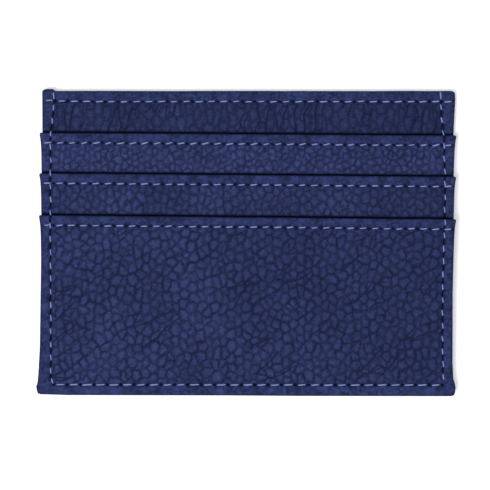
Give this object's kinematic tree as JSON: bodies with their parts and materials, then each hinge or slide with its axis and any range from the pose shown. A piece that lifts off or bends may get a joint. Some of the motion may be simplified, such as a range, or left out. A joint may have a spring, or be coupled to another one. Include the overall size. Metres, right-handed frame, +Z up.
{
  "type": "card holder",
  "caption": "Flat leather card holder with stepped card pockets on the front, an open-topped centre slot and stitched turned edges.",
  "frame": {"origin": "middle of the holder's outline, on the surface it lies on", "axes": "+X across the holder's width, +Y from its closed bottom edge to its open top edge, +Z up through its layers, from the back to the front pockets"},
  "size_m": [0.1024, 0.0748, 0.0057],
  "materials": {
    "navy_leather": "pebbled, low sheen",
    "navy_lining": "plain weave, matt",
    "stiffener_board": "matt",
    "blue_thread": "twisted polyester, satin"
  },
  "bodies": {
    "root": {"front_panel": "navy_leather", "back_panel": "navy_leather", "upper_pocket": "navy_leather", "middle_pocket": "navy_leather", "front_pocket": "navy_leather", "upper_pocket_lining": "navy_lining", "middle_pocket_lining": "navy_lining", "centre_lining_front": "navy_lining", "centre_lining_back": "navy_lining", "front_stiffener": "stiffener_board", "back_stiffener": "stiffener_board", "front_panel_hem_thread": "blue_thread", "upper_pocket_hem_thread": "blue_thread", "middle_pocket_hem_thread": "blue_thread", "front_pocket_hem_thread": "blue_thread", "back_panel_hem_thread": "blue_thread", "perimeter_needle_thread": "blue_thread", "perimeter_bobbin_thread": "blue_thread", "upper_pocket_base_thread": "blue_thread", "middle_pocket_base_thread": "blue_thread"}
  },
  "joints": []
}
